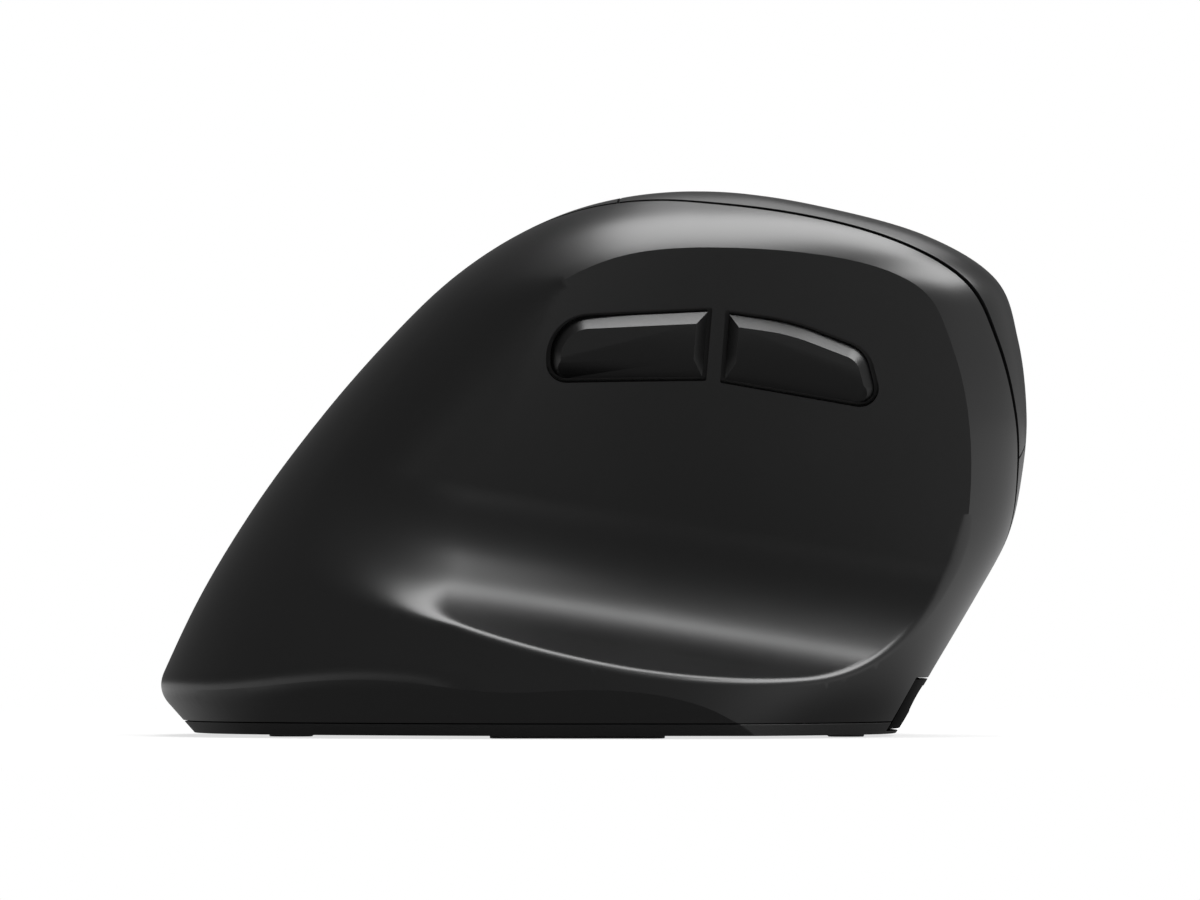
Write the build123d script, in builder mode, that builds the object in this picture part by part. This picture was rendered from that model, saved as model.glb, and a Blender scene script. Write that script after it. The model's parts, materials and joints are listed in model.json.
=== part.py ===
from build123d import *
import math
import os

# Left-handed vertical mouse. +X is the thumb side, +Y the front, +Z up.
# The origin lies on the desk, under the middle of the glide feet. Lengths in mm.

# overall body
top_height = 75.2       # desk to the highest point of the ridge
ridge_x = 8.0           # ridge line, thumb-wards of the origin
ridge_y = 14.0          # highest point, front of the origin
foot_height = 0.4       # glide feet below the base plate
wall = 2.2              # shell thickness
seam_gap = 0.35         # gap between neighbouring covers
fit_gap = 0.3           # gap between an inner piece and what holds it

# side profile: (depth below the top as a share, reach along Y)
rear_profile = [(0, ridge_y), (0.16, -0.3), (0.283, -10.3), (0.4, -19.3), (0.522, -28.1),
                (0.641, -37.2), (0.759, -46.5), (0.861, -54.1), (0.952, -60.0), (1.0, -63.0)]
front_profile = [(0, ridge_y), (0.16, 30.8), (0.283, 45.8), (0.4, 55.6), (0.522, 58.8),
                 (0.641, 60.0), (0.719, 59.4), (0.794, 57.5), (0.861, 53.1), (0.952, 45.8), (1.0, 41.6)]

# front view: a round ridge, then a straight lean on each side
thumb_round = 20.0      # ridge radius on the thumb side
thumb_lean = 12.0       # lean of the thumb side from upright, degrees
finger_round = 16.0     # ridge radius on the finger side
finger_slope = 58.5     # slope of the finger side from flat, degrees
finger_flare = 22.0     # height where the finger side turns down to its foot
finger_foot_lean = 20.0  # lean of that foot from upright, degrees

# plan view: the widest places move as the outline goes down from the ridge to the desk
middle_rear = 8.0       # rear end, towards the finger side
middle_front = 2.0      # front end, towards the finger side
middle_thumb = 14.0     # thumb side, rearwards
middle_finger = 10.0    # finger side, rearwards
rear_square = 2.1       # squareness of the outline's corners: 2 is an ellipse
front_square = 2.0
front_square_finger = 0.5   # added on the finger side at the desk
front_square_thumb = 1.9    # added on the thumb side at the ridge

foot_sections = 6       # sections in the lowest part, evenly spaced in height
foot_sections_top = 32.0
upper_sections = 9      # sections above it, closer together towards the ridge
ridge_section = 0.07    # depth share of the topmost one
points_per_quarter = 5

# an inset is longer along X or Y where the surface leans
lean_rear = 1.15
lean_front = 1.1
lean_finger = 1.15
lean_foot = 1.1

# tuck-in of the foot: how far the base outline stays inside the widest outline
foot_out = 1.9          # widest place of the foot, out from the lip of the thumb scoop
tuck_rear = 8.0
tuck_thumb = 5.5
tuck_finger = 5.2
tuck_rise = 9.0         # height over which the foot widens again
tuck_thumb_y = -6.0     # rear of here the base outline turns in on the thumb side
tuck_finger_y = 0.0     # and here on the finger side
tuck_thumb_bend = (6.0, -30.0)   # a place on that turn: in from the side, along Y
tuck_finger_bend = (5.0, -26.0)
tuck_thumb_end = (0.5, 7.0)      # near its rear end: share of the side reach, front of the end
tuck_finger_end = (0.6, 9.0)

# thumb scoop
scoop_tilt = 9.5        # the ledge runs down to the front, degrees
scoop_y = 12.0          # place along Y where the levels below are true
scoop_wall_x = 20.0     # wall of the scoop at its lower end
scoop_wall_level = 29.0
scoop_wall_lean = 6.0   # the wall leans out towards the top, degrees
scoop_lip_x = 38.5      # lip of the thumb ledge
scoop_lip_level = 8.2
scoop_ledge_slope = 22.0
scoop_fillet = 18.0
scoop_bend_y = 5.0      # rear of this the wall curves outwards
scoop_bend = 175.0      # radius of that curve

# seams
seam_start_x = -15.2    # the thumb seam plane: x = start + share * y + share * z
seam_per_y = 0.235
seam_per_z = 0.37
button_rear_y = 4.0     # rear edge of the main buttons at the ridge
button_rear_turn = 5.0  # it runs to the front down the finger side, degrees
split_down_slope = 15.3  # index and middle buttons part here, down from the ridge
middle_lower_x = 8.0    # lower edge of the middle button at the front
middle_lower_z = 26.5
middle_lower_rise = 12.0  # that edge climbs towards the finger side, degrees
base_top = 2.0          # top of the base plate
base_seam = 0.15        # gap between the base plate and the covers

# scroll wheel
wheel_y = 38.0
wheel_radius = 10.0
wheel_width = 6.6
tyre_thickness = 2.2
tyre_grooves = 28
wheel_proud = 3.6       # how far it stands out of the buttons
finger_sag = 2.8        # the covers lie this far below the flat slope at the wheel
axle_radius = 1.2
slot_gap = 1.0          # free space round the wheel in the buttons
slot_corner = 2.5

# side buttons
side_centre_z = 53.0
side_proud = 1.5
side_gap = 0.6          # groove round a side button
side_travel = 0.5
side_flange = 1.0       # thickness of the flange behind the wall
side_bevel = 1.4        # width of the bevel round the raised face
side_bevel_low = 2.6    # and along its lower edge
side_stem = 6.0         # depth of the stem's end behind the face plane
side_stem_size = (4.0, 4.0)
small_corner = 0.6
# their corners in the side plane from the top rear on, each with its radius
back_corners = [(-6.2, 4.75), (16.2, 5.8), (15.4, -3.75), (-5.9, -4.0)]
back_radii = [5.8, 0, 0, 2.5]
forward_corners = [(18.6, 5.45), (27.5, 4.2), (37.8, 0.2), (39.9, -7.9), (17.9, -4.05)]
forward_radii = [0, 30.0, 4.5, 2.3, 0]
back_switch = (6.0, 0.0)      # place of each switch in the side plane
forward_switch = (28.0, -1.0)
press_gap = 0.15        # free travel between a side button or the wheel and its switch
main_press_gap = 0.05   # the same for the two main buttons

# resolution button behind the wheel
resolution_y = 12.5
resolution_long = 9.6
resolution_wide = 4.6
resolution_proud = 0.9
resolution_sag = 0.9    # the covers lie this far below the flat slope there
resolution_flange = 0.8
resolution_flange_out = 1.0  # the flange reaches past the opening by this much
resolution_gap = 0.375
resolution_edge = 0.5
resolution_stem_radius = 1.5

# chassis: a folded plate under the finger slope, on two legs
chassis_depth = 15.5    # underside of its sloping part below the finger slope
chassis_thick = 2.0
chassis_up_slope = 16.5  # its upper fold, up the slope from the split line
chassis_rear_y = -8.0
chassis_front_y = 50.0
chassis_leg_front_y = 35.0   # the legs end here, behind the leaning front foot
chassis_leg_top = 34.0
finger_leg_x = -15.0
side_leg_depth = 14.0   # middle of the thumb-side leg behind the side plane
leg_holes = [(6.0, 14.0), (24.0, 14.0)]    # y and z of the openings in the legs
leg_hole_size = (12.0, 10.0)
leg_hole_corner = 2.0
window_margin = 1.0     # the wheel's opening reaches past the cradle by this much
encoder_room = 1.5      # and past the encoder's ends

# boards
board_thick = 1.2
board_corner = 1.0
board_level = 7.0       # underside of the main board
button_board_rear = -5.0
button_board_front = 49.0
button_board_wide = 34.0
side_board_place = (17.0, -0.5)    # its middle and size in the side plane
side_board_size = (40.0, 14.0)
main_board_place = (-5.4, 14.5)
main_board_size = (16.0, 45.0)
board_post_radius = 1.5
board_post_edge = (1.8, 4.0)       # middle of a post in from the board's edges

# main switches under the index and middle buttons
switch_y = 26.0
index_switch_down = -13.0          # down the slope from the split line
middle_switch_down = 12.0
switch_long = 12.8
switch_wide = 5.8
switch_high = 6.5
switch_front = 3.9                 # end of its case in front of the plunger
plunger_size = (1.5, 2.9)
plunger_high = 0.8                 # it stands out by this much
plunger_seat = 1.5                 # depth of the plunger's pocket in the case
plunger_room = 0.5                 # free space under it
rib_size = (6.0, 3.0)              # rib of a main button that meets the plunger
rib_corner = 0.8
running_gap = 0.05                 # radial gap of a shaft in its bore

# screws through the base plate
post_radius = 3.2
screw_radius = 1.2
screw_head_radius = 2.3
screw_length = 10.0
screw_slot = (2.4, 0.5)
screw_sunk = 0.2        # head below the underside of the base plate
thumb_posts = [(23.0, 26.0, 13.5), (0.0, -50.0, 18.0)]   # x, y and top of each post
palm_posts = [(-28.0, -15.0, 20.0), (-27.0, 27.0, 20.0)]

# charge socket and its insert in the front foot
insert_low = 1.1
insert_high = 7.9
insert_rear = 39.0
insert_finger_x = -8.0
insert_thumb_x = 15.0
socket_wide = 8.9
socket_high = 3.2
socket_long = 7.3
socket_x = 4.0
socket_level = 3.6
socket_front = 43.0
socket_shell = 0.3
socket_back = 1.0       # thickness of its closed end
socket_tongue = (6.7, 0.7)
socket_room = 0.15      # gap all round the socket in the insert

# scroll wheel cradle
cradle_wall = 2.6
cradle_low = 17.0       # lower and upper faces of its ring below the finger slope
cradle_high = 12.5
cheek_high = 7.6        # top of its two bearing cheeks
cheek_long = 8.0
cradle_tab_y = 21.0     # the tab that presses the wheel switch
cradle_tab_wide = 6.0
cradle_tab_thick = 1.4
encoder_thick = 3.0
encoder_size = (9.0, 4.0)

# wheel hub: a web between two recesses, with round holes
hub_rim = 1.2
hub_boss = 1.4
hub_recess = 1.5
hub_holes = 6
hub_hole_radius = 1.1
groove_depth = 0.5
groove_wide = 0.7

# small switches: a square body with a round plunger
tact_wide = 4.6
tact_plunger_radius = 1.0
tact_bore_gap = 0.12
tact_out = 0.6          # the plunger stands out by this much
wheel_switch_top = 2.4  # plunger top above the button board
resolution_switch_top = 4.1
plunger_foot_gap = 0.55  # free space under the plunger

# battery, sensor and power switch on the base plate
battery_size = (26.0, 34.0, 7.0)
battery_y = -28.0
battery_corner = 2.0
battery_edge = 1.2
sensor_x = -5.2
sensor_y = 8.0
sensor_size = (10.0, 12.0, 2.2)
sensor_chamfer = 0.3
sensor_hole_radius = 2.4
lens_window = (12.0, 8.4)
window_corner = 1.5
lens_flange = (12.6, 15.0, 1.6)
lens_radius = 3.4
lens_sunk = 0.8         # lens above the underside of the base plate
power_x = -22.0
power_y = 4.0
power_travel = 3.0
power_knob = (3.2, 6.0)
power_flange = (5.2, 8.0, 0.8)
power_case_wall = 0.9
power_case_high = 4.2
power_knob_sunk = 0.4   # knob above the underside of the base plate

# glide feet: x, y, length along X, length along Y
feet = [
    (0.0, -41.5, 24.0, 6.0),
    (3.0, 35.0, 22.0, 5.0),
    (28.5, -2.0, 5.0, 24.0),
    (-27.5, 3.0, 5.0, 22.0),
]
foot_corner = 2.2

os.makedirs("parts", exist_ok=True)


def through(points, at):
    """The smooth curve through (place, value) points, at one place."""
    last = len(points) - 1
    k = 0
    while k < last - 1 and at > points[k + 1][0]:
        k += 1
    slopes = []
    for i in (k, k + 1):
        low = points[max(i - 1, 0)]
        high = points[min(i + 1, last)]
        slopes.append((high[1] - low[1]) / (high[0] - low[0]))
    span = points[k + 1][0] - points[k][0]
    s = (at - points[k][0]) / span
    return (
        (1 + 2 * s) * (1 - s) ** 2 * points[k][1]
        + s * (1 - s) ** 2 * span * slopes[0]
        + s * s * (3 - 2 * s) * points[k + 1][1]
        + s * s * (s - 1) * span * slopes[1]
    )


def round_then_lean(drop, radius, lean):
    """Sideways reach from the ridge at a drop below it: an arc, then a straight lean."""
    turn = radius * (1 - math.sin(math.radians(lean)))
    if drop < turn:
        return math.sqrt(radius ** 2 - (radius - drop) ** 2)
    return radius * math.cos(math.radians(lean)) + (drop - turn) * math.tan(math.radians(lean))


def finger_reach(drop):
    """Reach of the finger side, with its steeper foot."""
    flare_drop = top_height - finger_flare
    slope_lean = 90 - finger_slope
    if drop < flare_drop:
        return round_then_lean(drop, finger_round, slope_lean)
    at_flare = round_then_lean(flare_drop, finger_round, slope_lean)
    return at_flare + (drop - flare_drop) * math.tan(math.radians(finger_foot_lean))


def outline(depth, inset):
    """Plan outline of the body at a depth share, drawn in by an inset: points of a closed curve."""
    drop = top_height * depth ** 2
    rear = through(rear_profile, depth) + lean_rear * inset
    front = through(front_profile, depth) - lean_front * inset
    thumb = ridge_x + round_then_lean(drop, thumb_round, thumb_lean) - inset
    finger = ridge_x - finger_reach(drop) + lean_finger * inset
    rear_x = ridge_x - middle_rear * depth ** 2
    front_x = ridge_x - middle_front * depth ** 2
    thumb_y = ridge_y - middle_thumb * depth ** 2
    finger_y = ridge_y - middle_finger * depth ** 2
    thumb_square = front_square + front_square_thumb * (1 - depth ** 2) ** 3
    finger_square = front_square + front_square_finger * depth
    points = []
    corners = [
        (rear_x, thumb_y, thumb - rear_x, rear - thumb_y, rear_square, True),
        (front_x, thumb_y, thumb - front_x, front - thumb_y, thumb_square, False),
        (front_x, finger_y, finger - front_x, front - finger_y, finger_square, True),
        (rear_x, finger_y, finger - rear_x, rear - finger_y, rear_square, False),
    ]
    for middle_x, middle_y, reach_x, reach_y, power, outward in corners:
        for i in range(points_per_quarter):
            share = i / points_per_quarter if outward else 1 - i / points_per_quarter
            angle = math.radians(90 * share)
            x = middle_x + reach_x * math.sin(angle) ** (2 / power)
            y = middle_y + reach_y * math.cos(angle) ** (2 / power)
            points.append((x, y))
    return points


def body(inset):
    """The whole outer form, drawn in all round by an inset, as one solid."""
    depths = [
        math.sqrt(1 - foot_sections_top / top_height * i / foot_sections)
        for i in range(foot_sections)
    ]
    first = math.sqrt(1 - foot_sections_top / top_height)
    spacing = (first - ridge_section) / (upper_sections - 1)
    depths += [first - spacing * i for i in range(upper_sections)]
    with BuildPart() as form:
        for depth in depths:
            level = (top_height - inset) * (1 - depth ** 2)
            with BuildSketch(Plane.XY.offset(level)):
                with BuildLine():
                    Spline(*outline(depth, inset), periodic=True)
                make_face()
        loft(sections=[*form.pending_faces, Vertex(ridge_x, ridge_y, top_height - inset)])
    return form.part


def scoop(inset):
    """The space of the thumb scoop, moved inwards by an inset: wall, fillet and sloping ledge."""
    lean = math.radians(scoop_wall_lean)
    slope = math.radians(scoop_ledge_slope)
    tilt = math.radians(scoop_tilt)
    far = scoop_lip_x + 20
    high = top_height + 15
    # the wall line and the ledge line, and the corner where they meet
    wall_foot = scoop_wall_x - inset / math.cos(lean)
    ledge_foot = scoop_lip_level - inset / math.cos(slope)
    corner_x = (
        wall_foot - scoop_wall_level * math.tan(lean)
        + (ledge_foot + scoop_lip_x * math.tan(slope)) * math.tan(lean)
    ) / (1 + math.tan(lean) * math.tan(slope))
    corner_level = ledge_foot + (scoop_lip_x - corner_x) * math.tan(slope)
    profile_plane = Plane(
        origin=(0, scoop_bend_y, (scoop_y - scoop_bend_y) * math.tan(tilt)),
        x_dir=(1, 0, 0),
        z_dir=(0, -math.cos(tilt), math.sin(tilt)),
    )
    with BuildPart() as space:
        with BuildSketch(profile_plane) as profile:
            with BuildLine():
                Polyline(
                    (corner_x, corner_level),
                    (far, ledge_foot + (scoop_lip_x - far) * math.tan(slope)),
                    (far, high),
                    (wall_foot + (high - scoop_wall_level) * math.tan(lean), high),
                    close=True,
                )
            make_face()
            fillet(profile.vertices().sort_by(Axis.X)[0], scoop_fillet + inset)
        extrude(amount=-2 * front_profile[5][1])
        bend_axis = Axis(
            profile_plane.from_local_coords((scoop_wall_x + scoop_bend, 0, 0)),
            profile_plane.y_dir,
        )
        revolve(profile.sketch, axis=bend_axis, revolution_arc=60)
    return space.part


# working planes
slope = math.radians(finger_slope)
cheek_outer = wheel_width / 2 + slot_gap + cradle_wall
encoder_middle = cheek_outer + encoder_thick / 2
round_drop = finger_round * (1 - math.cos(slope))
split_x = ridge_x - finger_round * math.sin(slope) - split_down_slope * math.cos(slope)
split_z = top_height - round_drop - split_down_slope * math.sin(slope)
# finger plane: local x runs to the front, local y down the slope, local z out of the slope
finger_out = (-math.sin(slope), 0, math.cos(slope))
finger_plane = Plane(origin=(split_x, 0, split_z), x_dir=(0, 1, 0), z_dir=finger_out)
finger_axis = Axis((0, 0, 0), finger_out)
# side plane: local x runs to the front, local y up the scoop wall, local z out towards the thumb
side_lean = math.radians(scoop_wall_lean)
side_x = scoop_wall_x + (side_centre_z - scoop_wall_level) * math.tan(side_lean)
side_plane = Plane(
    origin=(side_x, 0, side_centre_z),
    x_dir=(0, 1, 0),
    z_dir=(math.cos(side_lean), 0, -math.sin(side_lean)),
)
seam_plane = Plane(
    origin=(seam_start_x, 0, 0),
    x_dir=(0, seam_per_z, -seam_per_y),
    z_dir=(1, -seam_per_y, -seam_per_z),
)
down_slope = (-math.cos(slope), 0, -math.sin(slope))
split_plane = Plane(origin=finger_plane.origin, x_dir=(0, 1, 0), z_dir=down_slope)
lower_rise = math.radians(middle_lower_rise)
lower_plane = Plane(
    origin=(middle_lower_x, 0, middle_lower_z),
    x_dir=(0, 1, 0),
    z_dir=(-math.sin(lower_rise), 0, -math.cos(lower_rise)),
)
rear_turn = math.radians(button_rear_turn)
rear_plane = Plane(
    origin=(ridge_x, button_rear_y, 0),
    x_dir=(math.cos(rear_turn), -math.sin(rear_turn), 0),
    z_dir=(math.sin(rear_turn), math.cos(rear_turn), 0),
)


def tuck(inset):
    """The space the foot may fill, drawn in by an inset: its base outline, widening upwards."""
    with BuildPart() as space:
        for level, grow in ((foot_height, 0), (foot_height + tuck_rise * 2, 2)):
            rear = rear_profile[-1][1] + tuck_rear * (1 - grow) + lean_rear * inset
            thumb = scoop_lip_x + foot_out - tuck_thumb * (1 - grow) - lean_foot * inset
            finger = ridge_x - finger_reach(top_height) + tuck_finger * (1 - grow) + lean_foot * inset
            front = 2 * front_profile[5][1]
            with BuildSketch(Plane.XY.offset(level)):
                with BuildLine():
                    Spline(
                        (thumb, tuck_thumb_y),
                        (thumb - tuck_thumb_bend[0], tuck_thumb_bend[1]),
                        (tuck_thumb_end[0] * thumb, rear + tuck_thumb_end[1]),
                        (0, rear),
                        (tuck_finger_end[0] * finger, rear + tuck_finger_end[1]),
                        (finger + tuck_finger_bend[0], tuck_finger_bend[1]),
                        (finger, tuck_finger_y),
                        tangents=[(0, -1), (0, 1)],
                    )
                    Line((finger, tuck_finger_y), (finger, front))
                    Line((finger, front), (thumb, front))
                    Line((thumb, front), (thumb, tuck_thumb_y))
                make_face()
        loft(ruled=True)
        extrude(space.faces().sort_by(Axis.Z)[-1], amount=top_height)
    return space.part


def screw_post(x, y, top, body_part):
    """A post for a base screw, from the base plate up into the shell."""
    with BuildPart() as post:
        with BuildSketch(Plane.XY.offset(base_top)):
            with Locations((x, y)):
                Circle(post_radius)
        extrude(amount=top - base_top)
        add(body_part, mode=Mode.INTERSECT)
        with BuildSketch(Plane.XY.offset(base_top)):
            with Locations((x, y)):
                Circle(screw_radius + running_gap)
        extrude(amount=screw_length + fit_gap - base_top + foot_height, mode=Mode.SUBTRACT)
    return post.part


def side_outline(corners, radii, grow):
    """Outline of a side button in its plane, with its corners rounded, grown all round."""
    with BuildSketch() as shape:
        with BuildLine():
            Polyline(*corners, close=True)
        make_face()
        for corner, radius in zip(corners, radii):
            if radius:
                near = shape.vertices().sort_by_distance((corner[0], corner[1], 0))[0]
                fillet(near, radius)
        if grow:
            offset(amount=grow)
    return shape.sketch


# outer form and the hollow inside it
with BuildPart() as solid_form:
    add(body(0))
    add(scoop(0), mode=Mode.SUBTRACT)
    add(tuck(0), mode=Mode.INTERSECT)
with BuildPart() as hollow:
    add(body(wall))
    add(scoop(wall), mode=Mode.SUBTRACT)
    add(tuck(wall), mode=Mode.INTERSECT)
with BuildPart() as skin:
    add(solid_form.part)
    add(hollow.part, mode=Mode.SUBTRACT)
    split(bisect_by=Plane.XY.offset(base_top + base_seam), keep=Keep.TOP)

back_hole = side_outline(back_corners, back_radii, side_gap / 2)
forward_hole = side_outline(forward_corners, forward_radii, side_gap / 2)


def insert_block(grow):
    """The port insert's block, grown all round, reaching out of the front foot."""
    long = front_profile[5][1] - insert_rear + grow
    high = insert_high - insert_low + 2 * grow
    with BuildPart() as block:
        with BuildSketch(Plane.YZ.offset(insert_finger_x - grow)):
            with Locations((insert_rear - grow, insert_low - grow)):
                Rectangle(long, high, align=(Align.MIN, Align.MIN))
        extrude(amount=insert_thumb_x - insert_finger_x + 2 * grow)
    return block.part


port_space = insert_block(fit_gap)

# thumb shell
with BuildPart() as thumb_shell:
    add(skin.part)
    split(bisect_by=seam_plane.offset(seam_gap / 2), keep=Keep.TOP)
    with BuildSketch(side_plane.offset(-2 * wall)):
        add(back_hole)
        add(forward_hole)
    extrude(amount=4 * wall, mode=Mode.SUBTRACT)
    for x, y, top in thumb_posts:
        add(screw_post(x, y, top, solid_form.part))
    add(port_space, mode=Mode.SUBTRACT)
thumb_shell.part.label = "thumb_shell"
export_step(thumb_shell.part, "parts/thumb_shell.step")

# palm cover: all of the finger side but the two main buttons
with BuildPart() as finger_skin:
    add(skin.part)
    split(bisect_by=seam_plane.offset(-seam_gap / 2), keep=Keep.BOTTOM)
with BuildPart() as palm_front:
    add(finger_skin.part)
    split(bisect_by=rear_plane.offset(-seam_gap), keep=Keep.TOP)
    split(bisect_by=lower_plane.offset(seam_gap / 2), keep=Keep.TOP)
with BuildPart() as palm_cover:
    add(finger_skin.part)
    split(bisect_by=rear_plane.offset(-seam_gap / 2), keep=Keep.BOTTOM)
    add(palm_front.part)
    for x, y, top in palm_posts:
        add(screw_post(x, y, top, solid_form.part))
    add(port_space, mode=Mode.SUBTRACT)
palm_cover.part.label = "palm_cover"
export_step(palm_cover.part, "parts/palm_cover.step")

# levels in the finger plane
wheel_depth = finger_sag + wheel_radius - wheel_proud
board_low = -chassis_depth + chassis_thick + fit_gap
board_top = board_low + board_thick
plunger_top = board_top + switch_high + plunger_high

with BuildPart() as wheel_slot:
    with BuildSketch(finger_plane.offset(-wheel_depth)):
        with Locations((wheel_y, 0)):
            RectangleRounded(2 * (wheel_radius + slot_gap), wheel_width + 2 * slot_gap, slot_corner)
    extrude(amount=2 * wheel_depth)
with BuildPart() as resolution_slot:
    with BuildSketch(finger_plane.offset(-3 * wall)):
        with Locations((resolution_y, 0)):
            SlotOverall(resolution_long, resolution_wide)
    extrude(amount=6 * wall)


def main_button(keep_side, switch_down):
    """A main button: its part of the skin, with the rib that meets its switch."""
    with BuildPart() as button:
        add(finger_skin.part)
        split(bisect_by=rear_plane.offset(seam_gap / 2), keep=Keep.TOP)
        if keep_side == Keep.BOTTOM:
            split(bisect_by=split_plane.offset(-seam_gap / 2), keep=Keep.BOTTOM)
        else:
            split(bisect_by=split_plane.offset(seam_gap / 2), keep=Keep.TOP)
            split(bisect_by=lower_plane.offset(-seam_gap / 2), keep=Keep.BOTTOM)
    with BuildPart() as rib:
        with BuildSketch(finger_plane.offset(plunger_top + main_press_gap)):
            with Locations((switch_y, switch_down)):
                RectangleRounded(*rib_size, rib_corner)
        extrude(amount=chassis_depth)
        add(solid_form.part, mode=Mode.INTERSECT)
    with BuildPart() as finished:
        add(button.part)
        add(rib.part)
        add(wheel_slot.part, mode=Mode.SUBTRACT)
        add(resolution_slot.part, mode=Mode.SUBTRACT)
    return finished.part


index_part = main_button(Keep.BOTTOM, index_switch_down)
middle_part = main_button(Keep.TOP, middle_switch_down)
with BuildPart() as index_button:
    add(index_part)
index_button.part.label = "index_button"
export_step(index_button.part, "parts/index_button.step")
with BuildPart() as middle_button:
    add(middle_part)
middle_button.part.label = "middle_button"
export_step(middle_button.part, "parts/middle_button.step")


def low_bevel(start, end):
    """Plane of the wide bevel over the lower edge of a side button, from start to end."""
    along = Vector(end[0] - start[0], end[1] - start[1]).normalized()
    inwards = Vector(-along.Y, along.X)
    foot = Vector(*start) + inwards * (side_gap / 2)
    rise = -inwards * side_proud
    return Plane(
        origin=side_plane.from_local_coords((foot.X, foot.Y, 0)),
        x_dir=side_plane.x_dir * along.X + side_plane.y_dir * along.Y,
        z_dir=side_plane.x_dir * rise.X + side_plane.y_dir * rise.Y + side_plane.z_dir * side_bevel_low,
    )


def side_button(corners, radii, switch_at):
    """A side button: flange behind the wall, body in the hole, raised face with a wide bevel."""
    with BuildPart() as button:
        with BuildSketch(side_plane.offset(-wall - side_travel - side_flange)):
            add(side_outline(corners, radii, side_gap))
        extrude(amount=side_flange)
        with BuildSketch(side_plane.offset(-wall - side_travel)):
            add(side_outline(corners, radii, -side_gap / 2))
        extrude(amount=wall + side_travel + side_proud)
        face = button.faces().sort_by(Axis((0, 0, 0), side_plane.z_dir))[-1]
        chamfer(face.edges(), length=side_bevel, length2=side_proud, reference=face)
        split(bisect_by=low_bevel(corners[-1], corners[-2]), keep=Keep.BOTTOM)
        with BuildSketch(side_plane.offset(-side_stem)):
            with Locations(switch_at):
                RectangleRounded(*side_stem_size, small_corner)
        extrude(amount=side_stem - wall - side_travel)
    return button.part


back_part = side_button(back_corners, back_radii, back_switch)
forward_part = side_button(forward_corners, forward_radii, forward_switch)
with BuildPart() as back_button:
    add(back_part)
back_button.part.label = "back_button"
export_step(back_button.part, "parts/back_button.step")
with BuildPart() as forward_button:
    add(forward_part)
forward_button.part.label = "forward_button"
export_step(forward_button.part, "parts/forward_button.step")

# base plate: the lowest slice of the outer form
with BuildPart() as base_plate:
    add(solid_form.part)
    split(bisect_by=Plane.XY.offset(base_top), keep=Keep.BOTTOM)
    split(bisect_by=Plane.XY.offset(foot_height), keep=Keep.TOP)
    for x, y, top in thumb_posts + palm_posts:
        with Locations(Location((x, y, foot_height), (180, 0, 0))):
            CounterSinkHole(screw_radius + running_gap, screw_head_radius, 2 * base_top, 90)
    with BuildSketch(Plane.XY):
        with Locations((sensor_x, sensor_y)):
            RectangleRounded(*lens_window, window_corner)
        with Locations((power_x, power_y)):
            Rectangle(power_knob[0] + 2 * fit_gap, power_knob[1] + 2 * fit_gap + power_travel)
    extrude(amount=base_top, mode=Mode.SUBTRACT)
    add(port_space, mode=Mode.SUBTRACT)
    with BuildSketch(Plane.XY.offset(base_top)):
        with Locations(main_board_place):
            with GridLocations(
                main_board_size[0] - 2 * board_post_edge[0],
                main_board_size[1] - 2 * board_post_edge[1],
                2,
                2,
            ):
                Circle(board_post_radius)
    extrude(amount=board_level - base_top)
base_plate.part.label = "base_plate"
export_step(base_plate.part, "parts/base_plate.step")

# glide feet under the base plate
with BuildPart() as glide_feet:
    with BuildSketch(Plane.XY):
        for x, y, long_x, long_y in feet:
            with Locations((x, y)):
                RectangleRounded(long_x, long_y, foot_corner)
    extrude(amount=foot_height)
glide_feet.part.label = "glide_feet"
export_step(glide_feet.part, "parts/glide_feet.step")

# screws from below into the shell posts
with BuildPart() as base_screws:
    for x, y, top in thumb_posts + palm_posts:
        with BuildSketch(Plane.XZ.offset(-y)):
            with BuildLine():
                Polyline(
                    (x, foot_height + screw_sunk),
                    (x + screw_head_radius - 2 * screw_sunk, foot_height + screw_sunk),
                    (x + screw_radius, foot_height + screw_head_radius - screw_radius),
                    (x + screw_radius, foot_height + screw_length),
                    (x, foot_height + screw_length),
                    close=True,
                )
            make_face()
        revolve(axis=Axis((x, y, 0), (0, 0, 1)))
        with BuildSketch(Plane.XY.offset(foot_height)):
            with Locations((x, y)):
                Rectangle(*screw_slot)
                Rectangle(screw_slot[1], screw_slot[0])
        extrude(amount=screw_head_radius - screw_radius, mode=Mode.SUBTRACT)
base_screws.part.label = "base_screws"
export_step(base_screws.part, "parts/base_screws.step")

# chassis: thumb leg, slope and finger leg as one folded plate
side_tan = math.tan(side_lean)
side_leg_x = side_x - side_leg_depth / math.cos(side_lean)
slope_middle = chassis_depth - chassis_thick / 2
fold_x = split_x + slope_middle * math.sin(slope) + chassis_up_slope * math.cos(slope)
fold_z = split_z - slope_middle * math.cos(slope) + chassis_up_slope * math.sin(slope)
leg_down = (split_x + slope_middle * math.sin(slope) - finger_leg_x) / math.cos(slope)
leg_fold_z = split_z - slope_middle * math.cos(slope) - leg_down * math.sin(slope)
leg_low = base_top - chassis_thick / 2
ring_long = 2 * (wheel_radius + slot_gap + cradle_wall / 2)
window_rear = wheel_y - ring_long / 2 - window_margin
window_long = chassis_front_y + window_margin - window_rear
window_wide = 2 * (cheek_outer + 2 * fit_gap)


def wheel_window(across):
    """Sketch of the opening round the wheel cradle and its encoder in the finger plane."""
    with BuildSketch() as window:
        with Locations((window_rear + window_long / 2, 0)):
            Rectangle(window_long, window_wide)
        with Locations((wheel_y, encoder_middle)):
            Rectangle(encoder_size[0] + 2 * encoder_room, encoder_thick + across)
    return window.sketch


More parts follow.
